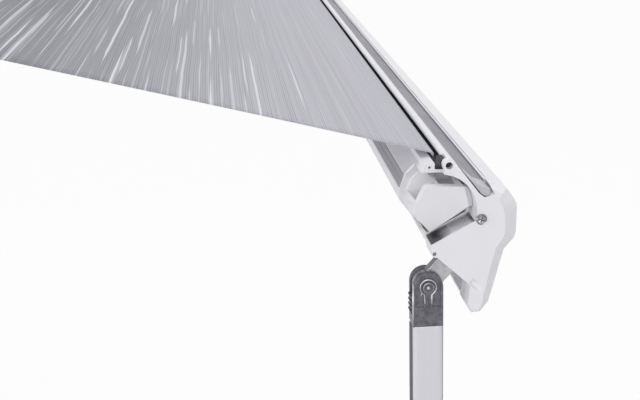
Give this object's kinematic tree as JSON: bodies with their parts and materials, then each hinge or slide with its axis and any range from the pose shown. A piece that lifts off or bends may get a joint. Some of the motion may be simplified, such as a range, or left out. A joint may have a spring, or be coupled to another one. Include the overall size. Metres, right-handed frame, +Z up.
{
  "type": "roll out awning",
  "caption": "Cassette awning with roller, crank, folding spring arms, sloping fabric and a front rail whose telescopic legs fold out of its underside.",
  "frame": {"origin": "middle of the wall bolt pattern, on the wall", "axes": "+X along the front rail, +Y into the wall, +Z up; the awning opens towards -Y"},
  "size_m": [3.0048, 1.8134, 2.2468],
  "materials": {
    "bracket_metal": "bead blasted aluminium",
    "case_white": "white powder coat on aluminium",
    "rail_white": "white powder coat on aluminium",
    "arm_white": "white powder coat on aluminium",
    "cap_white": "moulded white plastic",
    "plug_grey": "moulded pale grey plastic",
    "screw_steel": "bright zinc plated steel",
    "gearbox_grey": "dark painted casting",
    "black_plastic": "black moulded plastic",
    "awning_fabric": "coated woven fabric with pale streaks",
    "roller_steel": "galvanised tube",
    "wheel_brass": "machined brass",
    "arm_casting": "light grey painted casting",
    "spring_steel": "oiled spring steel",
    "gutter_grey": "grey extruded strip",
    "neck_alloy": "bright die cast alloy",
    "knuckle_dark": "dark painted die casting",
    "leg_silver": "satin anodised aluminium"
  },
  "bodies": {
    "case": {"wall_brackets": "bracket_metal", "case_shell": "case_white", "case_end_cap_left": "cap_white", "case_end_cap_right": "cap_white", "case_end_screws": "screw_steel", "gearbox_housing": "gearbox_grey", "roller_bush": "black_plastic", "shoulder_brackets": "bracket_metal", "shoulder_pins": "screw_steel", "fabric": "awning_fabric"},
    "roller": {"roller_tube": "roller_steel", "fabric_wrap": "awning_fabric", "roller_idler_plug": "black_plastic", "roller_drive_plug": "black_plastic", "worm_wheel": "wheel_brass"},
    "crank": {"worm_shaft": "screw_steel", "crank_eye": "screw_steel"},
    "rail": {"lead_rail": "rail_white", "rail_fascia": "rail_white", "rail_end_cap_left": "cap_white", "rail_end_cap_right": "cap_white", "tube_plugs": "plug_grey", "rail_cap_screws": "screw_steel", "wrist_brackets": "bracket_metal", "wrist_pins": "screw_steel", "hem_rod": "black_plastic", "gutter_strip": "gutter_grey", "leg_fold_pins": "screw_steel"},
    "left_upper_arm": {"upper_arm_left": "arm_white", "shoulder_fork_left": "arm_casting", "elbow_fork_left": "arm_casting", "arm_spring_left": "spring_steel", "elbow_pin_left": "screw_steel"},
    "left_forearm": {"forearm_left": "arm_white", "elbow_tongue_left": "arm_casting", "wrist_fork_left": "arm_casting"},
    "left_neck": {"leg_neck_left": "neck_alloy", "leg_swing_pin_left": "screw_steel"},
    "left_leg": {"leg_knuckle_left": "knuckle_dark", "leg_outer_left": "leg_silver", "leg_collar_left": "black_plastic"},
    "left_lever": {"clamp_lever_left": "knuckle_dark"},
    "left_inner": {"leg_inner_left": "leg_silver"},
    "left_foot": {"leg_foot_left": "black_plastic"},
    "right_upper_arm": {"upper_arm_right": "arm_white", "shoulder_fork_right": "arm_casting", "elbow_fork_right": "arm_casting", "arm_spring_right": "spring_steel", "elbow_pin_right": "screw_steel"},
    "right_forearm": {"forearm_right": "arm_white", "elbow_tongue_right": "arm_casting", "wrist_fork_right": "arm_casting"},
    "right_neck": {"leg_neck_right": "neck_alloy", "leg_swing_pin_right": "screw_steel"},
    "right_leg": {"leg_knuckle_right": "knuckle_dark", "leg_outer_right": "leg_silver", "leg_collar_right": "black_plastic"},
    "right_lever": {"clamp_lever_right": "knuckle_dark"},
    "right_inner": {"leg_inner_right": "leg_silver"},
    "right_foot": {"leg_foot_right": "black_plastic"}
  },
  "joints": [
    {"name": "arm_fold", "type": "hinge", "parent": "case", "child": "left_upper_arm", "pos_m": [-0.94, -0.04553, -0.02378], "axis": [0, -0.2368, 0.9715], "range_deg": [0, 74.89], "deforming": ["fabric"]},
    {"name": "left_elbow", "type": "hinge", "parent": "left_upper_arm", "child": "left_forearm", "pos_m": [-0.72711, -0.87509, -0.22601], "axis": [0, -0.2368, 0.9715], "range_deg": [-150.29, 1]},
    {"name": "left_wrist", "type": "hinge", "parent": "left_forearm", "child": "rail", "pos_m": [-0.94, -1.70466, -0.42823], "axis": [0, -0.2368, 0.9715], "range_deg": [-1, 75.39]},
    {"name": "right_shoulder", "type": "hinge", "parent": "case", "child": "right_upper_arm", "pos_m": [0.94, -0.04553, -0.02378], "axis": [0, -0.2368, 0.9715], "range_deg": [-75.39, 1]},
    {"name": "right_elbow", "type": "hinge", "parent": "right_upper_arm", "child": "right_forearm", "pos_m": [0.72711, -0.87509, -0.22601], "axis": [0, -0.2368, 0.9715], "range_deg": [-1, 150.29]},
    {"name": "roller_spin", "type": "hinge", "parent": "case", "child": "roller", "pos_m": [0, -0.044, 0.02908], "axis": [-1, 0, 0], "range_deg": [-60, 3430.7]},
    {"name": "crank_turn", "type": "hinge", "parent": "case", "child": "crank", "pos_m": [1.486, -0.066, 0.02908], "axis": [0, 0, -1], "range_deg": [-1200, 68614.3]},
    {"name": "left_leg_fold", "type": "hinge", "parent": "rail", "child": "left_neck", "pos_m": [-1.484, -1.76993, -0.42754], "axis": [0, -0.7604, -0.6494], "range_deg": [0, 90]},
    {"name": "left_leg_swing", "type": "hinge", "parent": "left_neck", "child": "left_leg", "pos_m": [-1.484, -1.74622, -0.4553], "axis": [1, 0, 0], "range_deg": [-1, 42.9]},
    {"name": "left_leg_slide", "type": "slide", "parent": "left_leg", "child": "left_inner", "axis": [0, 0.0244, 0.9997], "range_m": [0, 0.563]},
    {"name": "left_lever", "type": "hinge", "parent": "left_leg", "child": "left_lever", "pos_m": [-1.4978, -1.77256, -1.53297], "axis": [0, -0.9997, 0.0244], "range_deg": [0, 85]},
    {"name": "left_foot_tilt", "type": "hinge", "parent": "left_inner", "child": "left_foot", "pos_m": [-1.484, -1.78739, -2.13979], "axis": [1, 0, 0], "range_deg": [-12, 12]},
    {"name": "right_leg_fold", "type": "hinge", "parent": "rail", "child": "right_neck", "pos_m": [1.484, -1.76993, -0.42754], "axis": [0, 0.7604, 0.6494], "range_deg": [-90, 0]},
    {"name": "right_leg_swing", "type": "hinge", "parent": "right_neck", "child": "right_leg", "pos_m": [1.4475, -1.76993, -0.42754], "axis": [0, 0.6494, -0.7604], "range_deg": [-42.9, 1]},
    {"name": "right_leg_slide", "type": "slide", "parent": "right_leg", "child": "right_inner", "axis": [1, 0, 0], "range_m": [-0.563, 0]},
    {"name": "right_lever", "type": "hinge", "parent": "right_leg", "child": "right_lever", "pos_m": [0.3695, -1.76096, -0.43804], "axis": [0, 0.7604, 0.6494], "range_deg": [0, 85]},
    {"name": "right_foot_tilt", "type": "hinge", "parent": "right_inner", "child": "right_foot", "pos_m": [0.3255, -1.76993, -0.42754], "axis": [0, 0.6494, -0.7604], "range_deg": [-12, 12]}
  ],
  "couplings": [
    {"joint": "left_elbow", "follows": "arm_fold", "ratio": -2},
    {"joint": "left_wrist", "follows": "arm_fold", "ratio": 1},
    {"joint": "right_shoulder", "follows": "arm_fold", "ratio": -1},
    {"joint": "right_elbow", "follows": "arm_fold", "ratio": 2},
    {"joint": "roller_spin", "follows": "arm_fold", "ratio": 45.007},
    {"joint": "crank_turn", "follows": "arm_fold", "ratio": 900.14},
    {"joint": "left_leg_swing", "follows": "left_leg_fold", "ratio": 0.46556},
    {"joint": "right_leg_swing", "follows": "right_leg_fold", "ratio": 0.46556}
  ]
}
